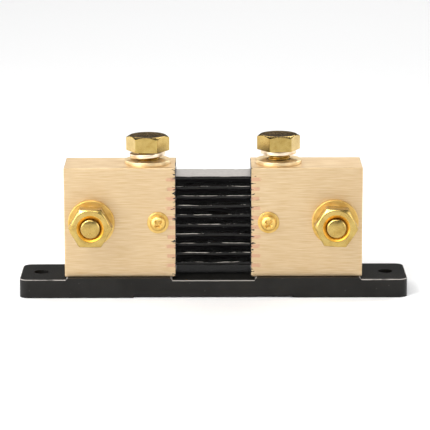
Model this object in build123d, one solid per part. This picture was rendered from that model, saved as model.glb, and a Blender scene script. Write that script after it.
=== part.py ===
from build123d import *
import os
from math import cos, radians, tan

# Battery monitor shunt: two brass terminal blocks joined by a stack of lacquered resistance strips
# brazed into slots, standing on a moulded base with two mounting holes.
# Millimetres. Origin: midway between the two mounting holes, on the plane of the feet.
# +X runs along the base, +Y to the back, +Z up. The measuring screws and the nuts are at the front, -Y.

# ---- base ----
BASE_END = 15.7             # flange beyond each block, with its mounting hole
BASE_MARGIN = 2.3           # base in front of the blocks, and the same behind them
BASE_THICKNESS = 6.5        # at the flanges
BASE_CORNER_R = 3.2         # upright corners, seen from above
BASE_EDGE_R = 0.35          # round at the top of the upright corners
PLATFORM_RISE = 0.5         # raised pad under each block
PLATFORM_INNER_LIP = 2.0    # how far a block overhangs its pad towards the strips
PLATFORM_OUTER_LIP = 1.0    # and towards the base's end
RECESS_DROP = 0.25          # shallow recess under the strips
FOOT_RELIEF = 0.7           # underside hollow between the two feet
FOOT_START = 14.9           # from a block's inner face to the start of the foot under it
MOUNT_HOLE_D = 5.2
MOUNT_INSET = 7.0           # hole axis to the end of the base

# ---- terminal blocks ----
BLOCK_WIDTH = 38.4
BLOCK_DEPTH = 19.4
BLOCK_HEIGHT = 38.2
BLOCK_GAP = 25.8            # free length of the strips between the blocks
BLOCK_EDGE_R = 0.3

# ---- resistance strips ----
STRIP_COUNT = 10
STRIP_MARGIN = 4.0          # middle of the first and last strip to the block's top and bottom
STRIP_THICKNESS = 1.0
STRIP_SETBACK = 3.0         # strips behind the block's front, and the same at the back
STRIP_SEAT = 2.7            # length held in each block
SEAT_END_GAP = 0.2          # braze at the blind end of a slot
SLOT_GAP = 0.1              # braze above and below a strip
NOTCH_WIDTH = 1.5           # trimming notches filed in the back edge of the top strip
NOTCH_DEPTH = 0.8
NOTCH_X = (-2.9, 8.0)

# ---- M8 clamping hardware ----
M8_D = 7.9                  # outside of the thread
M8_FIT = 0.08               # radial gap between a thread and the plain bore that stands in for its mate
HEX_AF = 13.0
BOLT_HEAD_H = 5.3
NUT_H = 6.5
HEX_FACE_RATIO = 0.95       # flat of a turned hexagon's face, as a share of its width across flats
HEX_CHAMFER_DEG = 30.0
NUT_MOUTH = 0.6             # countersink at each end of a nut's thread
FLAT_WASHER_D = 16.0
FLAT_WASHER_T = 1.4
FLAT_WASHER_GAP = 0.25      # radial gap round the thread, also used for a clearance hole
SPRING_WASHER_D = 12.3
SPRING_WASHER_T = 2.1
SPRING_WASHER_GAP = 0.1
SPRING_WASHER_SLIT = 1.0
SPRING_WASHER_SLIT_DEG = 20.0

# ---- top bolts, loosely run in ----
TOP_BOLT_LENGTH = 16.0
TOP_BOLT_INSET = 9.7        # axis to the block's inner face
TOP_BOLT_BACKED_OFF = {"left": 1.0, "right": 1.3}
TOP_BOLT_TURN = {"left": -3.0, "right": 4.5}
TOP_HOLE_DEPTH = 15.0

# ---- through bolts with nuts at the front ----
FRONT_BOLT_INSET = 9.4      # axis to the block's outer face
FRONT_BOLT_PROUD = 0.6      # thread end beyond the nut
FRONT_NUT_TURN = {"left": -1.0, "right": -3.5}

# ---- M3 measuring screws ----
M3_D = 2.9
M3_FIT = 0.08
SENSE_INSET = 6.1           # axis to the block's inner face
SENSE_LENGTH = 6.0
SENSE_HOLE_DEPTH = 8.0
SENSE_HEAD_D = 5.5
SENSE_HEAD_H = 2.2
SENSE_HEAD_SIDE = 0.9       # straight side of the pan head
SENSE_WASHER_D = 7.4
SENSE_WASHER_T = 0.6
SENSE_WASHER_GAP = 0.1
CROSS_SPAN = 3.0
CROSS_WIDTH = 0.8
CROSS_DEPTH = 1.2
CROSS_TURN = 45.0

# ---- M4 countersunk screws that hold the blocks to the base, from below ----
M4_D = 3.9
M4_FIT = 0.05
M4_HEAD_D = 7.6
M4_HEAD_RIM = 0.3           # short straight rim of the head
M4_LENGTH = 14.0
M4_CLEAR = 0.2              # radial gap in the base
M4_RECESS = 0.9             # level of the heads above the feet
M4_HOLE_DEPTH = 10.0
M4_SPACING = 22.0           # two screws in each block
M4_CROSS_SPAN = 4.2
M4_CROSS_WIDTH = 1.0
M4_CROSS_DEPTH = 1.2

THREAD_END_CHAMFER = 0.8    # lead-in at the end of an M8 thread
SMALL_END_CHAMFER = 0.3     # lead-in at the end of an M3 or M4 thread
PASS = 1.0                  # how far a cutter runs past the face it opens

# ---- derived places ----
SIDES = {"left": -1, "right": 1}
BLOCK_BOTTOM = BASE_THICKNESS + PLATFORM_RISE
BLOCK_TOP = BLOCK_BOTTOM + BLOCK_HEIGHT
BLOCK_MID_Z = BLOCK_BOTTOM + BLOCK_HEIGHT / 2
BLOCK_FRONT = -BLOCK_DEPTH / 2
BLOCK_BACK = BLOCK_DEPTH / 2
BLOCK_INNER = BLOCK_GAP / 2
BLOCK_OUTER = BLOCK_INNER + BLOCK_WIDTH
BLOCK_MID_X = BLOCK_INNER + BLOCK_WIDTH / 2
BASE_HALF = BLOCK_OUTER + BASE_END
BASE_DEPTH = BLOCK_DEPTH + 2 * BASE_MARGIN
FOOT_RELIEF_HALF = BLOCK_INNER + FOOT_START
MOUNT_X = BASE_HALF - MOUNT_INSET
TOP_BOLT_X = BLOCK_INNER + TOP_BOLT_INSET
FRONT_BOLT_X = BLOCK_OUTER - FRONT_BOLT_INSET
SENSE_X = BLOCK_INNER + SENSE_INSET
SLOT_LENGTH = STRIP_SEAT + SEAT_END_GAP
SLOT_HEIGHT = STRIP_THICKNESS + 2 * SLOT_GAP
STRIP_PITCH = (BLOCK_HEIGHT - 2 * STRIP_MARGIN) / (STRIP_COUNT - 1)
STRIP_DEPTH = BLOCK_DEPTH - 2 * STRIP_SETBACK
FRONT_STACK = FLAT_WASHER_T + SPRING_WASHER_T + NUT_H
FRONT_BOLT_LENGTH = BLOCK_DEPTH + FRONT_STACK + FRONT_BOLT_PROUD

# Turning a piece drawn about +Z so that its top faces the front or the back.
FACE_FRONT = Rot(90, 0, 0)
FACE_BACK = Rot(-90, 0, 0)


def bar(x_low, x_high, y_low, y_high, z_low, z_high):
    """A plain block between two corners."""
    size = Box(x_high - x_low, y_high - y_low, z_high - z_low)
    return Pos((x_low + x_high) / 2, (y_low + y_high) / 2, (z_low + z_high) / 2) * size


def turned(points):
    """A solid of revolution about Z from an outline of (radius, height) points."""
    outline = Plane.XZ * make_face(Polyline(*points, close=True))
    return revolve(outline, Axis.Z)


def hexagon(height, across_flats, chamfer_bottom):
    """A turned hexagon standing on z = 0, chamfered at the top and, for a nut, at the bottom too."""
    prism = extrude(RegularPolygon(across_flats / 2, 6, major_radius=False), height)
    corner = across_flats / 2 / cos(radians(30))
    face = HEX_FACE_RATIO * across_flats / 2
    reach = corner + PASS
    drop = (reach - face) * tan(radians(HEX_CHAMFER_DEG))
    top = [(reach, height - drop), (face, height), (0, height)]
    bottom = [(0, 0), (face, 0), (reach, drop)] if chamfer_bottom else [(0, 0), (reach, 0)]
    return prism & turned(bottom + top)


def shank(diameter, length, end_chamfer):
    """A plain thread body hanging from z = 0 down to -length, with a lead-in at its end."""
    r = diameter / 2
    tip = -length
    return turned([(0, 0), (r, 0), (r, tip + end_chamfer), (r - end_chamfer, tip), (0, tip)])


def ring(outer_d, inner_d, thickness):
    """A flat washer standing on z = 0."""
    disc = extrude(Circle(outer_d / 2), thickness)
    return disc - extrude(Circle(inner_d / 2), thickness)


def hole(diameter, depth):
    """A cutter for a hole that opens at z = 0 and runs down to -depth."""
    return Pos(0, 0, -depth) * extrude(Circle(diameter / 2), depth + PASS)


def cross_recess(span, width, depth, top):
    """A cutter for a cross recess of the given depth below z = top."""
    arms = Rectangle(span, width) + Rectangle(width, span)
    return Pos(0, 0, top - depth) * extrude(arms, depth + PASS)


def base():
    """The moulded base: an outline in elevation run through the depth, with its corners rounded."""
    pad_in = BLOCK_INNER + PLATFORM_INNER_LIP
    pad_out = BLOCK_OUTER - PLATFORM_OUTER_LIP
    top = BASE_THICKNESS
    pad = top + PLATFORM_RISE
    low = top - RECESS_DROP
    step = pad - low
    right_side = [
        (FOOT_RELIEF_HALF - FOOT_RELIEF, FOOT_RELIEF),
        (FOOT_RELIEF_HALF, 0),
        (BASE_HALF, 0),
        (BASE_HALF, top),
        (pad_out + PLATFORM_RISE, top),
        (pad_out, pad),
        (pad_in, pad),
        (pad_in - step, low),
    ]
    left_side = [(-x, z) for x, z in reversed(right_side)]
    elevation = Plane.XZ * make_face(Polyline(*(right_side + left_side), close=True))
    body = extrude(elevation, BASE_DEPTH / 2, both=True)
    plan = RectangleRounded(2 * BASE_HALF, BASE_DEPTH, BASE_CORNER_R)
    body = body & extrude(plan, pad)
    corners = body.faces().filter_by(GeomType.CYLINDER).edges().group_by(Axis.Z)[-1]
    body = fillet(corners.filter_by(GeomType.CIRCLE), BASE_EDGE_R)
    for side in SIDES.values():
        body -= Pos(side * MOUNT_X, 0, top) * hole(MOUNT_HOLE_D, top + PASS)
        for x in screw_places(side):
            body -= Pos(x, 0, pad) * hole(M4_D + 2 * M4_CLEAR, pad + PASS)
            body -= Pos(x, 0, M4_RECESS) * countersink()
    return body


def screw_places(side):
    """X of the two screws under one block."""
    return [side * BLOCK_MID_X + offset * M4_SPACING / 2 for offset in (-1, 1)]


def countersink():
    """A cutter for an M4 head, whose flat is at z = 0 and faces down."""
    head_r = M4_HEAD_D / 2 + M4_CLEAR
    neck_r = M4_D / 2 + M4_CLEAR
    cone = head_r - neck_r
    outline = [
        (0, -PASS - M4_RECESS),
        (head_r, -PASS - M4_RECESS),
        (head_r, M4_HEAD_RIM),
        (neck_r, M4_HEAD_RIM + cone),
        (0, M4_HEAD_RIM + cone),
    ]
    return turned(outline)


def base_screw():
    """A countersunk cross-recess screw, flat of its head at z = 0, pointing up."""
    head_r = M4_HEAD_D / 2
    r = M4_D / 2
    outline = [
        (0, 0),
        (head_r, 0),
        (head_r, M4_HEAD_RIM),
        (r, M4_HEAD_RIM + head_r - r),
        (r, M4_LENGTH - SMALL_END_CHAMFER),
        (r - SMALL_END_CHAMFER, M4_LENGTH),
        (0, M4_LENGTH),
    ]
    recess = Rot(180, 0, 0) * cross_recess(M4_CROSS_SPAN, M4_CROSS_WIDTH, M4_CROSS_DEPTH, 0)
    return turned(outline) - recess


def block_envelope(side):
    """One block before any hole or slot, with its edges lightly broken."""
    x_low, x_high = sorted((side * BLOCK_INNER, side * BLOCK_OUTER))
    solid = bar(x_low, x_high, BLOCK_FRONT, BLOCK_BACK, BLOCK_BOTTOM, BLOCK_TOP)
    return fillet(solid.edges(), BLOCK_EDGE_R)


def strip_level(index):
    """Height of a strip's middle; index 0 is the top strip, and the stack is centred on the blocks."""
    return BLOCK_MID_Z + ((STRIP_COUNT - 1) / 2 - index) * STRIP_PITCH


def slot(side, index, overrun):
    """The saw cut that seats one end of a strip, right through the block from front to back."""
    blind = side * (BLOCK_INNER + SLOT_LENGTH)
    mouth = side * (BLOCK_INNER - overrun)
    x_low, x_high = sorted((blind, mouth))
    z = strip_level(index)
    y_far = BLOCK_DEPTH / 2 + overrun
    return bar(x_low, x_high, -y_far, y_far, z - SLOT_HEIGHT / 2, z + SLOT_HEIGHT / 2)


def resistance_strip(index):
    """One flat strip, its ends seated in both blocks."""
    half = BLOCK_INNER + STRIP_SEAT
    z = strip_level(index)
    y = STRIP_DEPTH / 2
    strip = bar(-half, half, -y, y, z - STRIP_THICKNESS / 2, z + STRIP_THICKNESS / 2)
    if index == 0:
        for x in NOTCH_X:
            z_low = z - STRIP_THICKNESS
            z_high = z + STRIP_THICKNESS
            strip -= bar(x - NOTCH_WIDTH / 2, x + NOTCH_WIDTH / 2, y - NOTCH_DEPTH, y + PASS, z_low, z_high)
    return strip


def terminal_block(side):
    """A brass block: ten slots, a top thread, a cross hole, a measuring-screw hole, two holes below."""
    body = block_envelope(side)
    for index in range(STRIP_COUNT):
        body -= slot(side, index, PASS)
    body -= Pos(side * TOP_BOLT_X, 0, BLOCK_TOP) * hole(M8_D + 2 * M8_FIT, TOP_HOLE_DEPTH)
    through = hole(M8_D + 2 * FLAT_WASHER_GAP, BLOCK_DEPTH + PASS)
    body -= Pos(side * FRONT_BOLT_X, BLOCK_FRONT, BLOCK_MID_Z) * FACE_FRONT * through
    sense = hole(M3_D + 2 * M3_FIT, SENSE_HOLE_DEPTH)
    body -= Pos(side * SENSE_X, BLOCK_FRONT, BLOCK_MID_Z) * FACE_FRONT * sense
    for x in screw_places(side):
        body -= Pos(x, 0, BLOCK_BOTTOM) * Rot(180, 0, 0) * hole(M4_D + 2 * M4_FIT, M4_HOLE_DEPTH)
    return body


def braze(side):
    """The braze that fills every slot of one block round the strip ends."""
    envelope = block_envelope(side)
    joints = []
    for index in range(STRIP_COUNT):
        filling = slot(side, index, 0) & envelope
        joints.append(filling - resistance_strip(index))
    return Compound(children=[joint.solid() for joint in joints])


def hex_bolt(length):
    """An M8 hexagon bolt, underside of its head at z = 0."""
    return hexagon(BOLT_HEAD_H, HEX_AF, False) + shank(M8_D, length, THREAD_END_CHAMFER)


def hex_nut():
    """An M8 nut standing on z = 0, countersunk at both ends of its thread."""
    r = M8_D / 2 + M8_FIT
    mouth = r + NUT_MOUTH
    bore = [
        (0, 0),
        (mouth, 0),
        (r, NUT_MOUTH),
        (r, NUT_H - NUT_MOUTH),
        (mouth, NUT_H),
        (0, NUT_H),
    ]
    return hexagon(NUT_H, HEX_AF, True) - turned(bore)


def spring_washer():
    """A split spring washer standing on z = 0, its slit slanting through the ring."""
    inner_d = M8_D + 2 * SPRING_WASHER_GAP
    washer = ring(SPRING_WASHER_D, inner_d, SPRING_WASHER_T)
    reach = SPRING_WASHER_D
    cutter = Rot(SPRING_WASHER_SLIT_DEG, 0, 0) * Box(reach, SPRING_WASHER_SLIT, 2 * reach)
    return washer - Pos(reach / 2, 0, SPRING_WASHER_T / 2) * cutter


def sense_screw():
    """An M3 pan-head screw with a cross recess, underside of its head at z = 0."""
    r = SENSE_HEAD_D / 2
    side = Line((r, 0), (r, SENSE_HEAD_SIDE))
    crown = TangentArc((0, SENSE_HEAD_H), (r, SENSE_HEAD_SIDE), tangent=(1, 0))
    axis_line = Line((0, SENSE_HEAD_H), (0, 0))
    seat = Line((0, 0), (r, 0))
    head = revolve(Plane.XZ * make_face([side, crown, axis_line, seat]), Axis.Z)
    recess = cross_recess(CROSS_SPAN, CROSS_WIDTH, CROSS_DEPTH, SENSE_HEAD_H)
    return head + shank(M3_D, SENSE_LENGTH, SMALL_END_CHAMFER) - Rot(0, 0, CROSS_TURN) * recess


def top_pieces(name, side):
    """The loosely fitted top bolt of one block: flat washer, spring washer under the head, bolt."""
    x = side * TOP_BOLT_X
    flat_bore = M8_D + 2 * FLAT_WASHER_GAP
    washer_top = BLOCK_TOP + FLAT_WASHER_T
    spring_z = washer_top + TOP_BOLT_BACKED_OFF[name]
    head_z = spring_z + SPRING_WASHER_T
    turn = Rot(0, 0, TOP_BOLT_TURN[name])
    return {
        "top_flat_washer": Pos(x, 0, BLOCK_TOP) * ring(FLAT_WASHER_D, flat_bore, FLAT_WASHER_T),
        "top_spring_washer": Pos(x, 0, spring_z) * Rot(0, 0, 90 - 90 * side) * spring_washer(),
        "top_bolt": Pos(x, 0, head_z) * turn * hex_bolt(TOP_BOLT_LENGTH),
    }


def front_pieces(name, side):
    """The through bolt of one block, its head at the back, with washers and nut at the front."""
    x = side * FRONT_BOLT_X
    flat_bore = M8_D + 2 * FLAT_WASHER_GAP
    spring_y = BLOCK_FRONT - FLAT_WASHER_T
    nut_y = spring_y - SPRING_WASHER_T
    turn = Rot(0, 0, FRONT_NUT_TURN[name])
    flat = FACE_FRONT * ring(FLAT_WASHER_D, flat_bore, FLAT_WASHER_T)
    return {
        "front_bolt": Pos(x, BLOCK_BACK, BLOCK_MID_Z) * FACE_BACK * hex_bolt(FRONT_BOLT_LENGTH),
        "front_flat_washer": Pos(x, BLOCK_FRONT, BLOCK_MID_Z) * flat,
        "front_spring_washer": Pos(x, spring_y, BLOCK_MID_Z) * FACE_FRONT * spring_washer(),
        "front_nut": Pos(x, nut_y, BLOCK_MID_Z) * FACE_FRONT * turn * hex_nut(),
    }


def sense_pieces(side):
    """The measuring screw of one block and the washer under its head."""
    x = side * SENSE_X
    washer_bore = M3_D + 2 * SENSE_WASHER_GAP
    washer = FACE_FRONT * ring(SENSE_WASHER_D, washer_bore, SENSE_WASHER_T)
    head_y = BLOCK_FRONT - SENSE_WASHER_T
    return {
        "sense_washer": Pos(x, BLOCK_FRONT, BLOCK_MID_Z) * washer,
        "sense_screw": Pos(x, head_y, BLOCK_MID_Z) * FACE_FRONT * sense_screw(),
    }


def base_screws(side):
    """Both screws that hold one block, as separate solids."""
    return Compound(children=[Pos(x, 0, M4_RECESS) * base_screw() for x in screw_places(side)])


nodes = {"base": base()}
for strip_index in range(STRIP_COUNT):
    nodes[f"resistance_strip_{strip_index + 1:02d}"] = resistance_strip(strip_index)
for side_name, side_sign in SIDES.items():
    pieces = {
        "terminal_block": terminal_block(side_sign),
        "braze": braze(side_sign),
        "base_screws": base_screws(side_sign),
    }
    pieces.update(top_pieces(side_name, side_sign))
    pieces.update(front_pieces(side_name, side_sign))
    pieces.update(sense_pieces(side_sign))
    for piece_name, piece in pieces.items():
        nodes[f"{piece_name}_{side_name}"] = piece

os.makedirs("parts", exist_ok=True)
for node_name, shape in nodes.items():
    export_step(shape, f"parts/{node_name}.step")
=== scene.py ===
# %% [markdown]
# # A battery monitor shunt
# A shunt is a very small, very exact resistor for a very large current. Two solid brass blocks are
# joined by ten flat resistance strips. A cable lug is clamped under each big bolt, and a meter reads
# the few millivolts between the two small screws.
# This lesson builds its looks on top of a finished engineering model. The engineering model gives
# every place and every movement, and Blender adds what the eye wants: threads, rounded edges, wavy
# lacquer, brushed brass and soft studio light.

# %% Load the engineering model
import math

import bmesh
import bpy
from mathutils import Matrix, Vector


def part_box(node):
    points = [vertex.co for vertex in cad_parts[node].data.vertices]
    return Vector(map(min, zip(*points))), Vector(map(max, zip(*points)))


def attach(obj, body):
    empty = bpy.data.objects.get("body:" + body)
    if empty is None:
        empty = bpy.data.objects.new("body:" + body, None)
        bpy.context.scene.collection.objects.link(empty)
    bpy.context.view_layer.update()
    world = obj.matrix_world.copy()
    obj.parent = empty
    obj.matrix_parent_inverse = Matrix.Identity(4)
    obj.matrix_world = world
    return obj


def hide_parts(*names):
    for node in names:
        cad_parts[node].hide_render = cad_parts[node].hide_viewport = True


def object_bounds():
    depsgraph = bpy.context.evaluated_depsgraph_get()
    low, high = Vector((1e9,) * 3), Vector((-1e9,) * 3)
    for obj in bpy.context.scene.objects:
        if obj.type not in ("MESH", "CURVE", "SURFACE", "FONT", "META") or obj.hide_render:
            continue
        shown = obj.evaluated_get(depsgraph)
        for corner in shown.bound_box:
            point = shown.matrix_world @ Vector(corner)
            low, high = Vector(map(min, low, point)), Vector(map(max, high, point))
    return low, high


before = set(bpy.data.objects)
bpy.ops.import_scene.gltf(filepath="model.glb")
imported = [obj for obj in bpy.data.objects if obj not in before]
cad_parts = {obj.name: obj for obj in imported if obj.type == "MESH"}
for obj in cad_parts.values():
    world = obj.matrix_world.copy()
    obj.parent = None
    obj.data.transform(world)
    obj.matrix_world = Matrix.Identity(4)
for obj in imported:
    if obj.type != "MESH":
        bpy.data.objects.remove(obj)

cad_low, cad_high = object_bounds()
MM = 0.001
print("size in mm:", [round(side / MM, 1) for side in cad_high - cad_low])

# %% [markdown]
# ## A few helpers
# Shaders and geometry trees are both made of nodes, so one function adds a node of any sort. It takes
# the node's own options as settings and its sockets as inputs. An input may be a plain value, another
# node's output, or another node, which stands for its first output.
# Paint programs write colours as sRGB hex values, but a shader counts in linear light, so one function
# turns one into the other.

# %% Nodes and colours
def add(tree, kind, inputs=None, **settings):
    """Add one node to a tree, with its options set and its sockets filled or linked."""
    node = tree.nodes.new(kind)
    for name, value in settings.items():
        setattr(node, name, value)
    for key, value in (inputs or {}).items():
        if isinstance(value, bpy.types.Node):
            value = value.outputs[0]
        if isinstance(value, bpy.types.NodeSocket):
            tree.links.new(value, node.inputs[key])
        else:
            node.inputs[key].default_value = value
    return node


def linear(hex_colour):
    """An sRGB hex colour as the linear red, green, blue and alpha of a shader."""
    values = [int(hex_colour[i:i + 2], 16) / 255 for i in (1, 3, 5)]
    return tuple(v / 12.92 if v <= 0.04045 else ((v + 0.055) / 1.055) ** 2.4 for v in values) + (1.0,)


def span(value, low, high, to_low=0.0, to_high=1.0):
    """Inputs that map a value from one range to another."""
    return {"Value": value, "From Min": low, "From Max": high, "To Min": to_low, "To Max": to_high}


def per_metre(millimetres):
    """The scale that makes a texture's features about this many millimetres across."""
    return 1 / (millimetres * MM)


print("mid grey is", round(linear("#808080")[0], 3), "in linear light")

# %% [markdown]
# ## Finishes
# Each finish starts from what the real surface is and how it was made. Colour, roughness and bump all
# read the Object coordinates, which on this model are metres on the object itself, so a scratch that
# is half a millimetre wide stays half a millimetre wide on every piece.
#
# **Brushed brass bar.** The blocks are sawn from rolled bar and drawn over a fine belt. The belt leaves
# short level lines. They are finer than a tenth of a millimetre on the real block, and are drawn here
# about half a millimetre apart so that they still show in a small picture. The lines spread every
# reflection up and down, which gives the blocks their soft, almost matt glow.
# The strips were sprayed with black lacquer after brazing, so the inner faces of the blocks are black,
# and a little lacquer crept round the edges onto the front.

# %% Brushed brass with lacquer overspray
def new_material(name):
    """An empty node material, and where its patterns are measured from."""
    material = bpy.data.materials.new(name)
    material.use_nodes = True
    material.node_tree.nodes.clear()
    place = add(material.node_tree, "ShaderNodeTexCoord")
    return material, material.node_tree, place


def connect(tree, shader):
    """Send a shader to the material's output."""
    add(tree, "ShaderNodeOutputMaterial", {"Surface": shader})


def overspray(tree, place, inner_face):
    """1 where lacquer covers the metal: on the inner faces, and in streaks that crept round their edges."""
    split = add(tree, "ShaderNodeSeparateXYZ", {"Vector": place.outputs["Object"]})
    across = add(tree, "ShaderNodeMath", {0: split.outputs["X"]}, operation="ABSOLUTE")
    streak_scale = (per_metre(2.5), per_metre(2.5), per_metre(0.5))
    streak_place = add(tree, "ShaderNodeMapping", {"Vector": place.outputs["Object"],
        "Scale": streak_scale})
    streaks = add(tree, "ShaderNodeTexNoise", {"Vector": streak_place, "Scale": 1.0, "Detail": 4.0})
    reach = add(tree, "ShaderNodeMapRange", span(streaks, 0.55, 0.74, 0.2 * MM, 2.4 * MM))
    facing = add(tree, "ShaderNodeSeparateXYZ", {"Vector": place.outputs["Normal"]})
    level = add(tree, "ShaderNodeMapRange", span(facing.outputs["Z"], 0.5, 0.9, 1.0, 0.15))
    crept = add(tree, "ShaderNodeMath", {0: reach, 1: level}, operation="MULTIPLY")
    edge = add(tree, "ShaderNodeMath", {0: crept, 1: inner_face}, operation="ADD")
    return add(tree, "ShaderNodeMath", {0: across, 1: edge}, operation="LESS_THAN")


def lacquered_metal(tree, colour, roughness, bump, painted):
    """Finish a metal shader with black lacquer wherever the painted mask is 1."""
    black = add(tree, "ShaderNodeMix", {0: painted, 6: colour, 7: linear("#14110E")}, data_type="RGBA")
    bare = add(tree, "ShaderNodeMath", {0: 1.0, 1: painted}, operation="SUBTRACT")
    sheen = add(tree, "ShaderNodeMix", {0: painted, 2: roughness, 3: 0.25})
    shader = add(tree, "ShaderNodeBsdfPrincipled", {
        "Base Color": black.outputs[2], "Metallic": bare, "Roughness": sheen, "Normal": bump})
    connect(tree, shader)


def brushed_brass(inner_face):
    """Belt-brushed brass, black beyond the inner faces, which stand this far from the middle."""
    material, tree, place = new_material("brass_bar_belt_brushed")
    at = place.outputs["Object"]
    lines_scale = (per_metre(7), per_metre(1.2), per_metre(0.32))
    lines_place = add(tree, "ShaderNodeMapping", {"Vector": at, "Scale": lines_scale})
    lines = add(tree, "ShaderNodeTexNoise", {"Vector": lines_place, "Scale": 1.0, "Detail": 4.0})
    clouds = add(tree, "ShaderNodeTexNoise", {"Vector": at, "Scale": per_metre(13), "Detail": 2.0})
    strong = add(tree, "ShaderNodeMapRange", span(lines, 0.28, 0.72))
    brass = add(tree, "ShaderNodeMix", {0: strong, 6: linear("#CDAE82"), 7: linear("#E3CDA9")},
        data_type="RGBA")
    patch = add(tree, "ShaderNodeMapRange", span(clouds, 0.35, 0.7, to_high=0.25))
    aged = add(tree, "ShaderNodeMix", {0: patch, 6: brass.outputs[2], 7: linear("#CDAF85")},
        data_type="RGBA")
    rough = add(tree, "ShaderNodeMapRange", {"Value": lines, "To Min": 0.36, "To Max": 0.56})
    bump = add(tree, "ShaderNodeBump", {"Height": lines, "Strength": 0.25, "Distance": 0.03 * MM})
    painted = overspray(tree, place, inner_face)
    lacquered_metal(tree, aged.outputs[2], rough, bump, painted)
    return material


block_low, block_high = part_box("terminal_block_right")
brass_brushed = brushed_brass(block_low.x)
print("overspray starts", round(block_low.x / MM, 2), "mm from the middle")

# %% [markdown]
# **Turned and headed brass.** Bolts, nuts and washers are cold-headed or turned from a yellower brass
# and tumbled bright. They are smoother than the blocks, so they mirror the room in streaks of light
# and dark. Handling leaves a thin brown tarnish in patches. The tops of the two upper bolt heads are
# stamped, not turned, and are the most tarnished faces of all: the mask for that reads how far a face
# looks upwards.

# %% Bright fastener brass
def fastener_brass(name, light, dark, smooth, rough, tarnish=0.0):
    """Bright brass with a film of tarnish; faces that look up are darkened by the given share."""
    material, tree, place = new_material(name)
    at = place.outputs["Object"]
    film = add(tree, "ShaderNodeTexNoise", {"Vector": at, "Scale": per_metre(3.2), "Detail": 4.0,
        "Roughness": 0.6})
    grain = add(tree, "ShaderNodeTexNoise", {"Vector": at, "Scale": per_metre(0.5), "Detail": 3.0})
    share = add(tree, "ShaderNodeMapRange", span(film, 0.4, 0.72))
    metal = add(tree, "ShaderNodeMix", {0: share, 6: linear(light), 7: linear(dark)}, data_type="RGBA")
    facing = add(tree, "ShaderNodeSeparateXYZ", {"Vector": place.outputs["Normal"]})
    upward = add(tree, "ShaderNodeMapRange", span(facing.outputs["Z"], 0.93, 0.99, to_high=tarnish))
    mottle = add(tree, "ShaderNodeMapRange", span(grain, 0.3, 0.7, 0.72))
    brown = add(tree, "ShaderNodeMath", {0: upward, 1: mottle}, operation="MULTIPLY")
    colour = add(tree, "ShaderNodeMix", {0: brown, 6: metal.outputs[2], 7: linear("#80602C")},
        data_type="RGBA")
    sheen = add(tree, "ShaderNodeMapRange", {"Value": film, "To Min": smooth, "To Max": rough})
    bump = add(tree, "ShaderNodeBump", {"Height": grain, "Strength": 0.12, "Distance": 0.02 * MM})
    shader = add(tree, "ShaderNodeBsdfPrincipled", {
        "Base Color": colour.outputs[2], "Metallic": 1.0, "Roughness": sheen, "Normal": bump})
    connect(tree, shader)
    return material


brass_bright = fastener_brass("brass_turned_tumbled", "#C2A762", "#AE8F4C", 0.18, 0.34)
brass_satin = fastener_brass("brass_barrel_finished", "#E6C476", "#D2A954", 0.36, 0.52)
# a deeper orange copy of the brass for the nuts' countersink and inner thread: painted light bounced inside
# the hollow
brass_painted_bounce = fastener_brass("brass_with_painted_bounce", "#E2AA44", "#CA902C", 0.40, 0.55)
brass_pale = fastener_brass("brass_stamped_annealed", "#E4CDA2", "#D4B888", 0.36, 0.50)
brass_tarnished = fastener_brass("brass_headed_tarnished", "#B49B5C", "#A18547", 0.16, 0.30, tarnish=0.75)
bronze_spring = fastener_brass("phosphor_bronze_rolled", "#F4E2C8", "#DEC4A2", 0.26, 0.40)
print("fastener finishes:", brass_bright.name, brass_tarnished.name, bronze_spring.name)

# %% [markdown]
# **Braze.** The strips are brazed into saw cuts with a copper and phosphorus rod, which is pinker than
# brass. The front of each joint was ground flush, so it is dull and has the grey of the grinding in it.
#
# **Lacquer.** A thick, wavy coat of black lacquer, brushed or sprayed, that ran a little before it
# dried. It is very glossy: the only light on it is what it mirrors.
#
# **Moulded plastic.** The base is a black glass-filled nylon, satin, with tiny pale specks where the
# glass or some dust shows at the surface.
#
# **Zinc-plated steel.** Only the four screws underneath, which nobody sees in use.
#
# ** Pale edges.** Lacquer draws back from an edge as it dries, so runs of bare metal show on the strips'
# edges; they are kept to the upper edges, so they are partly painted highlight. On the moulding the paler
# runs of the upper edges are painted highlight. A surface that leans away from every axis is taken for a
# rounded edge.

# %% Braze, lacquer, plastic and steel
def plain_finish(name, light, dark, patch_mm, rough_low, rough_high, bump_mm, metallic, grain_mm,
    gloss=0.5):
    """A finish of two close colours in patches, with a fine grain for its roughness and bump."""
    material, tree, place = new_material(name)
    at = place.outputs["Object"]
    patches = add(tree, "ShaderNodeTexNoise", {"Vector": at, "Scale": per_metre(patch_mm), "Detail": 3.0})
    grain = add(tree, "ShaderNodeTexNoise", {"Vector": at, "Scale": per_metre(grain_mm), "Detail": 4.0})
    share = add(tree, "ShaderNodeMapRange", span(patches, 0.35, 0.65))
    colour = add(tree, "ShaderNodeMix", {0: share, 6: linear(dark), 7: linear(light)}, data_type="RGBA")
    rough = add(tree, "ShaderNodeMapRange", span(grain, 0.3, 0.7, rough_low, rough_high))
    bump = add(tree, "ShaderNodeBump", {"Height": grain, "Strength": 0.5, "Distance": bump_mm * MM})
    shader = add(tree, "ShaderNodeBsdfPrincipled", {
        "Base Color": colour.outputs[2], "Metallic": metallic, "Roughness": rough,
        "Specular IOR Level": gloss, "Normal": bump})
    connect(tree, shader)
    return material, tree, shader, at


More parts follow.
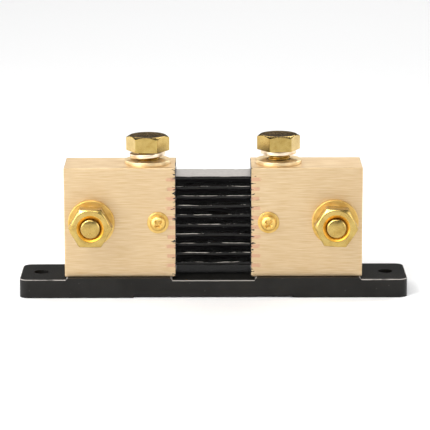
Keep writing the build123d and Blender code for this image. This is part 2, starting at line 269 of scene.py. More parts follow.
def ground_braze(inner_face, outer_end):
    """Pink braze that fades into brass towards its outer end and is lacquered at the inner face."""
    material, tree, place = new_material("copper_phosphorus_braze_ground")
    at = place.outputs["Object"]
    grain = add(tree, "ShaderNodeTexNoise", {"Vector": at, "Scale": per_metre(0.7), "Detail": 3.0})
    pink = add(tree, "ShaderNodeMix", {0: grain, 6: linear("#CFA384"), 7: linear("#D8B194")},
        data_type="RGBA")
    split = add(tree, "ShaderNodeSeparateXYZ", {"Vector": at})
    across = add(tree, "ShaderNodeMath", {0: split.outputs["X"]}, operation="ABSOLUTE")
    wander = add(tree, "ShaderNodeMath", {0: grain, 1: 2.2 * MM, 2: across}, operation="MULTIPLY_ADD")
    fade = add(tree, "ShaderNodeMapRange", span(wander, outer_end + 1.0 * MM, outer_end + 1.9 * MM))
    colour = add(tree, "ShaderNodeMix", {0: fade, 6: pink.outputs[2], 7: linear("#DCC39A")},
        data_type="RGBA")
    rough = add(tree, "ShaderNodeMapRange", {"Value": grain, "To Min": 0.40, "To Max": 0.55})
    bump = add(tree, "ShaderNodeBump", {"Height": grain, "Strength": 0.2, "Distance": 0.03 * MM})
    painted = overspray(tree, place, inner_face)
    lacquered_metal(tree, colour.outputs[2], rough, bump, painted)
    return material


braze_ground = ground_braze(block_low.x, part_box("braze_right")[1].x)
steel_plated, *_ = plain_finish("steel_zinc_plated", "#C9CBCC", "#A9ACB0", 2.0, 0.25, 0.40, 0.01, 1.0, 0.4)
# bare metal in the filed notches, and on the top strip's top face a painted reflection
strip_bare_and_reflection, *_ = plain_finish("manganin_bare_and_painted_reflection", "#B8B3AE", "#ADA8A3", 1.2, 0.40, 0.50, 0.01, 1.0, 0.3)
lacquer, lacquer_tree, lacquer_shader, lacquer_at = plain_finish(
    "lacquer_black_glossy", "#0B0907", "#040302", 4.0, 0.10, 0.24, 0.03, 0.0, 1.4, 0.22)
nylon, nylon_tree, nylon_shader, nylon_at = plain_finish(
    "nylon_black_moulded", "#1B1A18", "#141311", 9.0, 0.36, 0.48, 0.010, 0.0, 0.5, 0.20)


def edge_share(tree, at, width):
    """1 on upper rounded edges and 0 on flat faces, by how far the surface leans from every axis."""
    raw = add(tree, "ShaderNodeSeparateXYZ", {"Vector": at.node.outputs["Normal"]})
    # only edges that face upwards, where light from above falls, are kept: that part is painted highlight
    upper = add(tree, "ShaderNodeMapRange", span(raw.outputs["Z"], 0.1, 0.3))
    leaning = add(tree, "ShaderNodeVectorMath", {0: at.node.outputs["Normal"]}, operation="ABSOLUTE")
    split = add(tree, "ShaderNodeSeparateXYZ", {"Vector": leaning})
    most = add(tree, "ShaderNodeMath", {0: split.outputs["X"], 1: split.outputs["Y"]}, operation="MAXIMUM")
    most = add(tree, "ShaderNodeMath", {0: most, 1: split.outputs["Z"]}, operation="MAXIMUM")
    share = add(tree, "ShaderNodeMapRange", span(most, 0.995, 1.0 - width, 0.0, 1.0))
    shown = add(tree, "ShaderNodeMath", {0: share, 1: upper}, operation="MULTIPLY")
    return shown, split.outputs["Z"]


def bare_and_highlit_edges(tree, shader, at, colour, width, metallic, run_mm, rare, level_gloss):
    """Paint a paler colour along parts of the upper edges, partly bare metal and partly painted highlight,
    and take the gloss off level faces.
    """
    share, upright = edge_share(tree, at, width)
    long_scale = (per_metre(run_mm), per_metre(run_mm), per_metre(1.6))
    long_place = add(tree, "ShaderNodeMapping", {"Vector": at, "Scale": long_scale})
    runs = add(tree, "ShaderNodeTexNoise", {"Vector": long_place, "Scale": 1.0, "Detail": 5.0,
        "Roughness": 0.65})
    shown = add(tree, "ShaderNodeMapRange", span(runs, rare, rare + 0.14))
    bare = add(tree, "ShaderNodeMath", {0: share, 1: shown}, operation="MULTIPLY")
    old_colour = shader.inputs["Base Color"].links[0].from_socket
    # the paler colour on these edges is a painted highlight, and on the lacquer partly bare metal as well
    paler = add(tree, "ShaderNodeMix", {0: bare, 6: old_colour, 7: linear(colour)}, data_type="RGBA")
    metal = add(tree, "ShaderNodeMath", {0: bare, 1: metallic}, operation="MULTIPLY")
    gloss = add(tree, "ShaderNodeMapRange", span(upright, 0.80, 0.97,
        shader.inputs["Specular IOR Level"].default_value, level_gloss))
    tree.links.new(paler.outputs[2], shader.inputs["Base Color"])
    tree.links.new(metal.outputs[0], shader.inputs["Metallic"])
    tree.links.new(gloss.outputs[0], shader.inputs["Specular IOR Level"])


# the strips' upper edges: partly bare metal where the lacquer drew back, partly painted highlight
bare_and_highlit_edges(lacquer_tree, lacquer_shader, lacquer_at, "#B4AEA6", 0.16, 0.7, 6.0, 0.49, 0.02)
# the moulding's upper edges get pale runs: a painted highlight
bare_and_highlit_edges(nylon_tree, nylon_shader, nylon_at, "#96918C", 0.03, 0.0, 9.0, 0.36, 0.04)


def painted_lip_highlight(tree, shader, at, colour, half_length, lowest, outermost):
    """A pale line painted along the lip of the moulding in front of and behind the strips: a painted
    highlight.
    """
    size = add(tree, "ShaderNodeVectorMath", {0: at}, operation="ABSOLUTE")
    split = add(tree, "ShaderNodeSeparateXYZ", {"Vector": size})
    along = add(tree, "ShaderNodeMath", {0: split.outputs["X"], 1: half_length}, operation="LESS_THAN")
    high = add(tree, "ShaderNodeMath", {0: split.outputs["Z"], 1: lowest}, operation="GREATER_THAN")
    out = add(tree, "ShaderNodeMath", {0: split.outputs["Y"], 1: outermost}, operation="GREATER_THAN")
    both = add(tree, "ShaderNodeMath", {0: along, 1: high}, operation="MULTIPLY")
    lip = add(tree, "ShaderNodeMath", {0: both, 1: out}, operation="MULTIPLY")
    old_colour = shader.inputs["Base Color"].links[0].from_socket
    paler = add(tree, "ShaderNodeMix", {0: lip, 6: old_colour, 7: linear(colour)}, data_type="RGBA")
    tree.links.new(paler.outputs[2], shader.inputs["Base Color"])


LIP_HALF_LENGTH = 14.2 * MM
LIP_LOWEST = 5.95 * MM
LIP_OUTERMOST = 11.8 * MM
# a pale line on the lip of the moulding: a painted highlight
painted_lip_highlight(nylon_tree, nylon_shader, nylon_at, "#8C8883", LIP_HALF_LENGTH, LIP_LOWEST, LIP_OUTERMOST)
specks = add(nylon_tree, "ShaderNodeTexVoronoi", {"Vector": nylon_at, "Scale": per_metre(2.4)},
    feature="F1")
near = add(nylon_tree, "ShaderNodeMath", {0: specks.outputs["Distance"], 1: 0.055}, operation="LESS_THAN")
old_colour = nylon_shader.inputs["Base Color"].links[0].from_socket
speckled = add(nylon_tree, "ShaderNodeMix", {0: near, 6: old_colour, 7: linear("#4B4845")},
    data_type="RGBA")
nylon_tree.links.new(speckled.outputs[2], nylon_shader.inputs["Base Color"])
print("finishes made:", len(bpy.data.materials))

# %% [markdown]
# ## Making pieces
# Most of the hardware is round, so the main tool is a lathe: an outline of radius and height is swept
# round the z axis. A point of the outline may also be a rule that gives the radius and height for each
# angle. That is how a hexagon is made on a lathe, and it gives the true curved chamfer that a turned
# hexagon has. Hexagons and studs then get a very small round on each sharp edge, because real metal
# has one and it catches the light. Washers and small heads have theirs in the outline.

# %% Lathe, join and finish
AROUND = 96


def link(name, mesh):
    """Put a mesh into the scene as an object at the origin."""
    piece = bpy.data.objects.new(name, mesh)
    bpy.context.scene.collection.objects.link(piece)
    return piece


def as_mesh(shape, name):
    """Turn a working shape into a mesh, and free it."""
    mesh = bpy.data.meshes.new(name)
    shape.to_mesh(mesh)
    shape.free()
    return mesh


def evaluated(piece):
    """A plain mesh of an object with its modifiers applied; the object itself is removed."""
    graph = bpy.context.evaluated_depsgraph_get()
    result = bpy.data.meshes.new_from_object(piece.evaluated_get(graph), depsgraph=graph)
    bpy.data.objects.remove(piece)
    return result


def turned(outline, around=AROUND, loop=False):
    """Sweep an outline in millimetres round the z axis; a loop joins its last point to its first."""
    shape = bmesh.new()
    rings = []
    for point in outline:
        ring = [point(math.tau * k / around) if callable(point) else point for k in range(around)]
        ring = ring[:1] if ring[0][0] == 0 else ring
        rings.append([shape.verts.new((r * MM * math.cos(math.tau * k / around),
                                       r * MM * math.sin(math.tau * k / around), z * MM))
                      for k, (r, z) in enumerate(ring)])
    for low, high in zip(rings, rings[1:] + (rings[:1] if loop else [])):
        for k in range(around):
            corners = [low[k % len(low)], low[(k + 1) % around % len(low)],
                       high[(k + 1) % around % len(high)], high[k % len(high)]]
            shape.faces.new(list(dict.fromkeys(corners)))
    bmesh.ops.recalc_face_normals(shape, faces=shape.faces)
    return as_mesh(shape, "turned")


def softened(mesh, width_mm, segments=2, angle=25):
    """A copy of a mesh with a small round on each edge sharper than the angle, in degrees."""
    piece = link("softened", mesh)
    bevel = piece.modifiers.new("round", "BEVEL")
    bevel.limit_method = "ANGLE"
    bevel.angle_limit = math.radians(angle)
    bevel.width = width_mm * MM
    bevel.segments = segments
    return evaluated(piece)


def assembled(name, parts, smooth_angle=35):
    """One object from (mesh, material, matrix) parts, smooth but for edges sharper than the angle."""
    whole = bmesh.new()
    materials = []
    for mesh, material, matrix in parts:
        own = list(mesh.materials) if len(mesh.materials) > 1 else [material]
        materials += [one for one in own if one not in materials]
        piece = mesh.copy()
        piece.transform(matrix)
        first = len(whole.faces)
        whole.from_mesh(piece)
        whole.faces.ensure_lookup_table()
        for face in whole.faces[first:]:
            face.material_index = materials.index(own[min(face.material_index, len(own) - 1)])
    bmesh.ops.recalc_face_normals(whole, faces=whole.faces)
    mesh = as_mesh(whole, name)
    for material in materials:
        mesh.materials.append(material)
    mesh.shade_smooth()
    mesh.set_sharp_from_angle(angle=math.radians(smooth_angle))
    print(name, "has", len(mesh.polygons), "faces")
    piece = link(name, mesh)
    weighted = piece.modifiers.new("flat faces stay flat", "WEIGHTED_NORMAL")
    weighted.keep_sharp = True
    return piece


def placed(parts, stand):
    """The same parts, moved to where they stand."""
    return [(mesh, finish, stand @ matrix) for mesh, finish, matrix in parts]


def belongs(piece, body, slot, *nodes):
    """Attach a piece to the body it moves with, and hide the engineering nodes it stands for; the slot is
    not used.
    """
    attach(piece, body)
    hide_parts(*nodes)


def middle(node):
    """The middle of an engineering node's box."""
    low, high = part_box(node)
    return (low + high) / 2


UP = Matrix.Identity(4)
TO_FRONT = Matrix.Rotation(math.radians(90), 4, "X")     # what pointed up now points to the front
TO_BACK = Matrix.Rotation(math.radians(-90), 4, "X")
SIDES = {"left": -1, "right": 1}
print("lathe steps round a turn:", AROUND)

# %% [markdown]
# ## Geometry node trees
# A screw thread and a split spring washer are the same idea: a bar wound round an axis. One tree makes
# both. It draws a spiral, stands a small trapezium on it so that its wide foot faces the axis, and
# sweeps it along. A thread has a sharp crest and fades away at its ends; a spring washer has a square
# section with rounded corners and stops dead, which leaves its slit.

# %% A tree that winds a bar into a coil
def new_tree(name, inputs):
    """An empty geometry tree with named inputs, and its input sockets."""
    tree = bpy.data.node_groups.new(name, "GeometryNodeTree")
    tree.interface.new_socket("Geometry", in_out="OUTPUT", socket_type="NodeSocketGeometry")
    for label, kind in inputs.items():
        tree.interface.new_socket(label, in_out="INPUT", socket_type="NodeSocket" + kind)
    return tree, add(tree, "NodeGroupInput").outputs


def end_tree(tree, geometry, material):
    """Make copies real, set the material and send the result out."""
    real = add(tree, "GeometryNodeRealizeInstances", {"Geometry": geometry})
    covered = add(tree, "GeometryNodeSetMaterial", {"Geometry": real, "Material": material})
    add(tree, "NodeGroupOutput", {0: covered})


def grown(tree, **values):
    """Run a tree once with these inputs, and keep what it makes as a plain mesh."""
    carrier = link("carrier", bpy.data.meshes.new("carrier"))
    modifier = carrier.modifiers.new("grow", "NODES")
    modifier.node_group = tree
    for item in tree.interface.items_tree:
        if item.in_out == "INPUT":
            modifier[item.identifier] = values[item.name]
    mesh = evaluated(carrier)
    mesh.materials.clear()
    mesh.materials.append(values["Finish"])
    return mesh


def stacked(tree, has, piece, start, **options):
    """Copies of a piece down a stack, made real, and a node that gives the place of each of their points."""
    down = add(tree, "ShaderNodeMath", {0: has["Drop"], 1: -1.0}, operation="MULTIPLY")
    step = add(tree, "ShaderNodeCombineXYZ", {"Z": down})
    first = add(tree, "ShaderNodeCombineXYZ", start)
    levels = add(tree, "GeometryNodeMeshLine", {"Count": has["Count"], "Start Location": first,
        "Offset": step})
    row = add(tree, "GeometryNodeInstanceOnPoints", {"Points": levels, "Instance": piece, **options})
    return add(tree, "GeometryNodeRealizeInstances", {"Geometry": row}), add(tree,
        "GeometryNodeInputPosition")


coil, has = new_tree("bar_wound_into_a_coil", {
    "Radius": "Float", "Rise": "Float", "Turns": "Float", "Foot": "Float", "Crest": "Float",
    "Depth": "Float", "Corner": "Float", "End": "Float", "Fade": "Float", "Steps": "Int",
    "Finish": "Material"})
spiral = add(coil, "GeometryNodeCurveSpiral", {
    "Resolution": has["Steps"], "Rotations": has["Turns"], "Start Radius": has["Radius"],
    "End Radius": has["Radius"], "Height": has["Rise"], "Reverse": True})
level = add(coil, "GeometryNodeSetCurveNormal", {"Curve": spiral}, mode="Z_UP")
along = add(coil, "GeometryNodeSplineParameter")
to_end = add(coil, "ShaderNodeMath", {0: along.outputs["Factor"], 1: 0.5}, operation="PINGPONG")
size = add(coil, "ShaderNodeMapRange", {"Value": to_end, "From Max": has["Fade"], "To Min": has["End"]})
tapered = add(coil, "GeometryNodeSetCurveRadius", {"Curve": level, "Radius": size})
section = add(coil, "GeometryNodeCurvePrimitiveQuadrilateral", {
    "Bottom Width": has["Foot"], "Top Width": has["Crest"], "Height": has["Depth"], "Offset": 0.0},
    mode="TRAPEZOID")
rounded = add(coil, "GeometryNodeFilletCurve", {
    "Curve": section, "Count": 3, "Radius": has["Corner"], "Limit Radius": True}, mode="POLY")
half = add(coil, "ShaderNodeMath", {0: has["Depth"], 1: 0.5}, operation="MULTIPLY")
outward = add(coil, "ShaderNodeCombineXYZ", {"X": half})
stood = add(coil, "GeometryNodeTransform", {
    "Geometry": rounded, "Translation": outward, "Rotation": (0, 0, -math.pi / 2)})
swept = add(coil, "GeometryNodeCurveToMesh", {
    "Curve": tapered, "Profile Curve": stood, "Fill Caps": True})
if "Scale" in swept.inputs:
    coil.links.new(size.outputs[0], swept.inputs["Scale"])
end_tree(coil, swept, has["Finish"])
print("coil tree:", len(coil.nodes), "nodes")

# %% [markdown]
# ## Threads, hexagons and washers
# An M8 thread climbs 1.25 mm in each turn, an M3 thread 0.5 mm. The thread is wound on a core whose
# radius is the bottom of the groove. It is built with its real depth, because the gap under the upper
# bolt heads shows it, and unscrewing a bolt shows all of it.

# %% Sizes of the hardware, in millimetres
M8 = {"outside": 3.95, "pitch": 1.25}
M3 = {"outside": 1.45, "pitch": 0.5}
M4 = {"outside": 1.95, "pitch": 0.7}
HEX_ACROSS = 13.0
HEX_FACE = 0.95 * HEX_ACROSS / 2      # radius of the flat, inside the chamfer
HEAD_HEIGHT = 5.3
NUT_HEIGHT = 6.5


def wound_thread(size, low, high, finish):
    """A thread ridge from one height to another, all in millimetres, on a core's surface."""
    depth = 0.613 * size["pitch"]
    return grown(coil, Radius=(size["outside"] - depth) * MM, Rise=(high - low) * MM,
                 Turns=(high - low) / size["pitch"], Foot=0.875 * size["pitch"] * MM,
                 Crest=0.13 * size["pitch"] * MM, Depth=depth * MM, Corner=0.0, End=0.0,
                 Fade=0.35 * size["pitch"] / (high - low), Steps=36, Finish=finish)


def at_height(z):
    """Move up by some millimetres."""
    return Matrix.Translation((0, 0, z * MM))


def hex_radius(angle):
    """How far out a hexagon's side is at an angle; its corners are at 0, 60, 120 degrees and so on."""
    from_corner = (angle + 1e-9) % math.radians(60)
    return HEX_ACROSS / 2 / math.cos(from_corner - math.radians(30))


def hex_side(height, top):
    """The rule for the edge where a hexagon's side meets its 30 degree chamfer."""
    def rule(angle):
        radius = hex_radius(angle)
        drop = (radius - HEX_FACE) * math.tan(math.radians(30))
        return (radius, height - drop) if top else (radius, height + drop)
    return rule


def stud(length, thread_low, thread_high, finish):
    """A threaded shank that hangs from z = 0, with a turned collar at its tip."""
    core = M8["outside"] - 0.613 * M8["pitch"]
    outline = [(0, 0), (core, 0), (core, -length + 1.5), (3.34, -length + 1.4), (3.34, -length + 0.34),
               (2.90, -length), (0, -length + 0.05)]
    body = softened(turned(outline), 0.06, 1, 20)
    ridge = wound_thread(M8, thread_low, thread_high, finish)
    return [(body, finish, UP), (ridge, finish, at_height(thread_low))]


def hex_head(turn, finish):
    """A bolt's head on z = 0, with a shallow stamped dish in its top."""
    top = HEAD_HEIGHT
    outline = [(0, 0), (HEX_FACE, 0), lambda a: (hex_radius(a), 0.0), hex_side(top, True),
               (HEX_FACE, top), (HEX_FACE - 0.9, top), (HEX_FACE - 1.3, top - 0.1), (0, top - 0.16)]
    return [(softened(turned(outline), 0.10, 2, 22), finish, Matrix.Rotation(turn, 4, "Z"))]


def washer(outer, bore, thick, edge=0.22):
    """A flat washer on z = 0, with the rolled-over edge of a stamping on its upper side."""
    outline = [(bore, 0), (outer - 0.1, 0), (outer, 0.12), (outer, thick - edge),
               (outer - 0.4 * edge, thick - 0.3 * edge), (outer - edge, thick), (bore + 0.12, thick),
               (bore, thick - 0.12)]
    return turned(outline, loop=True)


print("thread depth in mm:", round(0.613 * M8["pitch"], 3))

# %% [markdown]
# ## The upper bolts
# These clamp the cable lugs. They are only run in by hand, so there is a gap between the spring washer
# and the flat washer, and the thread shows in it. The left spring washer hangs askew, as a loose
# spring washer does; the right one sits level.

# %% Upper bolts with their washers
SPRING_BORE = 4.05
SPRING_OUTER = 6.15


def spring_washer(thick, rise, slit_at):
    """A split spring washer on z = 0: one turn of square bar, less its slit."""
    slit = 1.0 / (math.tau * (SPRING_BORE + SPRING_OUTER) / 2)
    bar = grown(coil, Radius=SPRING_BORE * MM, Rise=rise * MM, Turns=1 - slit, Foot=thick * MM,
                Crest=thick * MM, Depth=(SPRING_OUTER - SPRING_BORE) * MM, Corner=0.2 * MM, End=1.0,
                Fade=0.1, Steps=AROUND, Finish=bronze_spring)
    bar.transform(Matrix.Rotation(math.radians(slit_at), 4, "Z") @ at_height(thick / 2))
    return bar


UPPER = {
    "left": {"turn": -3.0, "askew": -4.2, "slit_at": 150},
    "right": {"turn": 4.5, "askew": 0.0, "slit_at": 40},
}
for name, side in SIDES.items():
    fit = UPPER[name]
    axis = middle(f"top_bolt_{name}")
    flat_low, flat_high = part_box(f"top_flat_washer_{name}")
    spring_low, spring_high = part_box(f"top_spring_washer_{name}")

    flat = washer(8.0, 4.2, (flat_high.z - flat_low.z) / MM, 0.3)
    stand = Matrix.Translation((axis.x, axis.y, flat_low.z))
    piece = assembled(f"top_plain_washer_{name}", [(flat, brass_pale, stand)])
    belongs(piece, "root", "fastener_brass", f"top_flat_washer_{name}")

    thick, rise = 1.35, 0.25
    sag = math.sin(math.radians(abs(fit["askew"]))) * SPRING_OUTER
    rest = spring_high.z / MM - thick - rise - sag
    tilt = Matrix.Rotation(math.radians(fit["askew"]), 4, "Y")
    stand = Matrix.Translation((axis.x, axis.y, rest * MM)) @ tilt
    split = spring_washer(thick, rise, fit["slit_at"])
    piece = assembled(f"top_split_washer_{name}", [(split, bronze_spring, stand)])
    belongs(piece, f"top_spring_washer_{name}", "spring_washer_bronze", f"top_spring_washer_{name}")

    stand = Matrix.Translation((axis.x, axis.y, spring_high.z))
    parts = hex_head(math.radians(fit["turn"]), brass_tarnished) + stud(16.0, -15.2, -0.7, brass_tarnished)
    piece = assembled(f"top_hex_bolt_{name}", placed(parts, stand))
    belongs(piece, f"top_bolt_{name}", "fastener_brass", f"top_bolt_{name}")

# %% [markdown]
# ## The cross bolts
# A second bolt runs right through each block from the back, and a nut closes it at the front over a
# flat and a spring washer. The nut has a real inner thread, set half a pitch from the bolt's, so the
# two mesh and stay meshed as the nut is unscrewed.

# %% Cross bolts, washers and nuts
LEAD = 2.0                 # from the bolt's tip to its first full crest


def hex_nut(turn, thread_from):
    """A nut on z = 0: a hexagon chamfered at both ends, countersunk, with an inner thread."""
    bore, mouth = 4.03, 4.63
    height = NUT_HEIGHT
    outline = [(bore, 0.4), (mouth, 0), (HEX_FACE, 0), hex_side(0, False), hex_side(height, True),
               (HEX_FACE, height), (mouth, height), (3.5, height - 0.62), (bore, height - 1.1)]
    body = softened(turned(outline, loop=True), 0.12, 2, 22)
    # the countersink and inner thread take the orange copy of the brass: painted bounce light
    body.materials.append(brass_bright)
    body.materials.append(brass_painted_bounce)
    for face in body.polygons:
        inside = face.center.xy.length < (mouth - 0.05) * MM
        face.material_index = int(inside and face.center.z > 0.5 * height * MM)
    turns = 3.5
    ridge = grown(coil, Radius=bore * MM, Rise=turns * M8["pitch"] * MM, Turns=turns, Foot=1.1 * MM,
                  Crest=0.32 * MM, Depth=-0.63 * MM, Corner=0.0, End=0.0, Fade=0.08, Steps=36,
                  Finish=brass_painted_bounce)
    return [(body, brass_bright, Matrix.Rotation(turn, 4, "Z")), (ridge, brass_painted_bounce,
        at_height(thread_from))]


NUT_TURN = {"left": -1.0, "right": -3.5}
for name, side in SIDES.items():
    bolt_low, bolt_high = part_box(f"front_bolt_{name}")
    axis = middle(f"front_bolt_{name}")
    head_seat = bolt_high.y - HEAD_HEIGHT * MM
    length = (head_seat - bolt_low.y) / MM
    stand = Matrix.Translation((axis.x, head_seat, axis.z)) @ TO_BACK
    parts = hex_head(math.radians(8 * side), brass_bright) + stud(length, -length + LEAD, -4.0,
        brass_bright)
    piece = assembled(f"cross_bolt_{name}", placed(parts, stand))
    belongs(piece, "root", "fastener_brass", f"front_bolt_{name}")

    flat_low, flat_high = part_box(f"front_flat_washer_{name}")
    flat = washer(8.0, 4.2, (flat_high.y - flat_low.y) / MM)
    stand = Matrix.Translation((axis.x, flat_high.y, axis.z)) @ TO_FRONT
    piece = assembled(f"front_plain_washer_{name}", [(flat, brass_satin, stand)])
    belongs(piece, "root", "fastener_brass", f"front_flat_washer_{name}")

    spring_low, spring_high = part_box(f"front_spring_washer_{name}")
    split = spring_washer(2.02, 0.06, 35 if side > 0 else 200)
    stand = Matrix.Translation((axis.x, spring_high.y, axis.z)) @ TO_FRONT
    piece = assembled(f"front_split_washer_{name}", [(split, bronze_spring, stand)])
    belongs(piece, f"front_spring_washer_{name}", "spring_washer_bronze", f"front_spring_washer_{name}")

    nut_low, nut_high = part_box(f"front_nut_{name}")
    groove = bolt_low.y / MM + LEAD + M8["pitch"] / 2
    thread_from = (nut_high.y / MM - groove) % M8["pitch"]
    stand = Matrix.Translation((axis.x, nut_high.y, axis.z)) @ TO_FRONT
    parts = hex_nut(math.radians(NUT_TURN[name]), thread_from)
    piece = assembled(f"front_hex_nut_{name}", placed(parts, stand))
    belongs(piece, f"front_nut_{name}", "fastener_brass", f"front_nut_{name}")

# %% [markdown]
# ## Small screws
# The two measuring screws have a domed pan head with a cross recess. A punched recess has walls that
# lean inwards, so the cutter is a cross whose bottom is smaller than its top, and a Boolean takes it
# out of the head. The four screws under the base are made by the same function with a flat,
# countersunk head.

# %% Measuring screws and base screws
def cross_cutter(span, width, depth, top):
    """A tapering cross in millimetres, its wide end a little above the given height."""
    shape = bmesh.new()
    half_w, half_s = width / 2, span / 2
    plan = []
    arm = [(half_s, -half_w), (half_s, half_w), (half_w, half_w)]
    for _ in range(4):
        plan += arm
        arm = [(-y, x) for x, y in arm]
    layers = []
    for height, scale in ((top - depth, 0.55), (top + 0.5, 1.2)):
        layers.append([shape.verts.new((x * scale * MM, y * scale * MM, height * MM)) for x, y in plan])
    low, high = layers
    count = len(plan)
    for k in range(count):
        shape.faces.new([low[k], low[(k + 1) % count], high[(k + 1) % count], high[k]])
    shape.faces.new(low)
    shape.faces.new(high)
    bmesh.ops.recalc_face_normals(shape, faces=shape.faces)
    return as_mesh(shape, "cross")


def cut(mesh, cutter_mesh, material=None):
    """Take one mesh out of another, and keep the result as a plain mesh."""
    body, cutter = link("body", mesh), link("cutter", cutter_mesh)
    if material:
        cutter_mesh.materials.append(material)
    boolean = body.modifiers.new("cut", "BOOLEAN")
    boolean.operation = "DIFFERENCE"
    boolean.solver = "EXACT"
    boolean.material_mode = "TRANSFER"
    boolean.object = cutter
    result = evaluated(body)
    bpy.data.objects.remove(cutter)
    return result


def small_screw(head, recess, turn, size, thread_low, thread_high, finish):
    """A small screw: a turned body with a cross cut in the top of its head, and a wound thread."""
    cutter = cross_cutter(*recess)
    cutter.transform(Matrix.Rotation(math.radians(turn), 4, "Z"))
    body = cut(turned(head, 64), cutter)
    ridge = wound_thread(size, thread_low, thread_high, finish)
    return [(body, finish, UP), (ridge, finish, at_height(thread_low))]


def dome(radius, side, height, steps=8):
    """Points of a pan head's crown, which leaves the side upright and closes flat over the middle."""
    angles = [k * math.pi / 2 / steps for k in range(steps)]
    crown = [(radius * math.cos(a), side + (height - side) * math.sin(a)) for a in angles]
    return crown + [(0, height)]


M3_CORE = M3["outside"] - 0.613 * M3["pitch"]
M4_CORE = M4["outside"] - 0.613 * M4["pitch"]
PAN_RECESS = (3.8, 1.0, 0.8, 2.2)      # span, width, depth and the height of its rim
FLAT_RECESS = (4.2, 1.0, 1.2, 0.0)
pan_head = [(0, -6.0), (M3_CORE - 0.2, -6.0), (M3_CORE, -5.7), (M3_CORE, 0), (2.55, 0), (2.75, 0.2)]
pan_head += dome(2.75, 0.9, 2.2)
flat_head = [(0, -14.0), (M4_CORE - 0.2, -14.0), (M4_CORE, -13.7), (M4_CORE, -2.05), (3.8, -0.3),
             (3.8, -0.05), (3.75, 0), (0, 0)]
for name, side in SIDES.items():
    washer_low, washer_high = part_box(f"sense_washer_{name}")
    axis = middle(f"sense_washer_{name}")
    stand = Matrix.Translation((axis.x, washer_high.y, axis.z)) @ TO_FRONT
    ring = washer(3.7, 1.55, (washer_high.y - washer_low.y) / MM, 0.15)
    piece = assembled(f"sense_plain_washer_{name}", [(ring, brass_satin, stand)])
    belongs(piece, f"sense_washer_{name}", "fastener_brass", f"sense_washer_{name}")

    stand = Matrix.Translation((axis.x, washer_low.y, axis.z)) @ TO_FRONT
    parts = small_screw(pan_head, PAN_RECESS, 45 + 4 * side, M3, -5.7, -0.2, brass_satin)
    piece = assembled(f"sense_pan_screw_{name}", placed(parts, stand))
    belongs(piece, f"sense_screw_{name}", "fastener_brass", f"sense_screw_{name}")

    low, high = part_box(f"base_screws_{name}")
    to_below = Matrix.Rotation(math.pi, 4, "X")
    parts = []
    for x, turn in ((low.x + 3.8 * MM, 20), (high.x - 3.8 * MM, 65)):
        stand = Matrix.Translation((x, (low.y + high.y) / 2, low.z)) @ to_below
        parts += placed(small_screw(flat_head, FLAT_RECESS, turn, M4, -13.6, -2.6, steel_plated), stand)
    piece = assembled(f"base_flat_screws_{name}", parts)
    belongs(piece, "root", "screw_steel", f"base_screws_{name}")

# %% [markdown]
# ## Base and blocks
# The engineering model already has the exact moulding and the exact blocks, with their holes and saw
# cuts. Its meshes are loose triangles, so a copy is welded, flat areas are dissolved back into single
# faces. A bevel is asked for on the moulding, but the short edges of its own fillets hold that bevel
# to a few thousandths of a millimetre. Its edges stay sharp, and the pale lines on them are painted
# highlights.

# %% Welded copies of the base and the blocks
def welded(node, flat_degrees=0.6):
    """A copy of an engineering mesh with its triangles joined and its flat areas made whole."""
    shape = bmesh.new()
    shape.from_mesh(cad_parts[node].data)
    bmesh.ops.remove_doubles(shape, verts=shape.verts, dist=0.002 * MM)
    bmesh.ops.dissolve_limit(shape, angle_limit=math.radians(flat_degrees), verts=shape.verts,
        edges=shape.edges)
    return as_mesh(shape, node)


moulding = softened(welded("base"), 0.36, 2, 32)
piece = assembled("base_moulding", [(moulding, nylon, UP)], 40)
belongs(piece, "root", "base_plastic", "base")
for name in SIDES:
    block = welded(f"terminal_block_{name}")
    piece = assembled(f"brass_block_{name}", [(block, brass_brushed, UP)], 40)
    belongs(piece, "root", "block_brass", f"terminal_block_{name}")

# %% [markdown]
# ## Resistance strips
# Ten strips of manganin, an alloy whose resistance hardly changes with heat. They were all lacquered
# together, so each carries an uneven coat with a wandering, slightly beaded edge. The tree makes one
# bar, copies it down the stack, and only then moves its skin with noise, so no two strips are alike.
# The shunt is trimmed at the factory by filing two small notches in the back edge of the top strip,
# which bares the metal. The top face of that strip is given the same dull grey metal, which is partly a
# guess at bare metal and partly a painted reflection of the bright room that glossy lacquer there would
# mirror.

# %% Strips grown by a tree
strips, has = new_tree("stack_of_lacquered_strips", {
    "Length": "Float", "Width": "Float", "Thickness": "Float", "Count": "Int", "Drop": "Float",
    "Top": "Float", "Skin": "Float", "Bend": "Float", "Seed": "Float", "Finish": "Material"})
bar_size = add(strips, "ShaderNodeCombineXYZ", {"X": has["Length"], "Y": has["Width"],
    "Z": has["Thickness"]})
bar = add(strips, "GeometryNodeMeshCube", {"Size": bar_size, "Vertices X": 110, "Vertices Y": 30,
    "Vertices Z": 5})
loose, where = stacked(strips, has, bar, {"Z": has["Top"]})
blobs = add(strips, "ShaderNodeTexNoise", {
    "Vector": where, "W": has["Seed"], "Scale": per_metre(2.4), "Detail": 2.0}, noise_dimensions="4D")
slow = add(strips, "ShaderNodeTexNoise", {
    "Vector": where, "W": has["Seed"], "Scale": per_metre(11), "Detail": 1.0}, noise_dimensions="4D")
skin_amount = add(strips, "ShaderNodeMapRange", span(blobs, 0.3, 0.7, -0.5, 0.5))
skin = add(strips, "ShaderNodeMath", {0: skin_amount, 1: has["Skin"]}, operation="MULTIPLY")
outwards = add(strips, "GeometryNodeInputNormal")
skin_move = add(strips, "ShaderNodeVectorMath", {0: outwards, "Scale": skin}, operation="SCALE")
bend_amount = add(strips, "ShaderNodeMapRange", span(slow, 0.3, 0.7, -0.5, 0.5))
bend = add(strips, "ShaderNodeMath", {0: bend_amount, 1: has["Bend"]}, operation="MULTIPLY")
bend_move = add(strips, "ShaderNodeCombineXYZ", {"Z": bend})
move = add(strips, "ShaderNodeVectorMath", {0: skin_move, 1: bend_move}, operation="ADD")
wavy = add(strips, "GeometryNodeSetPosition", {"Geometry": loose, "Offset": move})
end_tree(strips, wavy, has["Finish"])

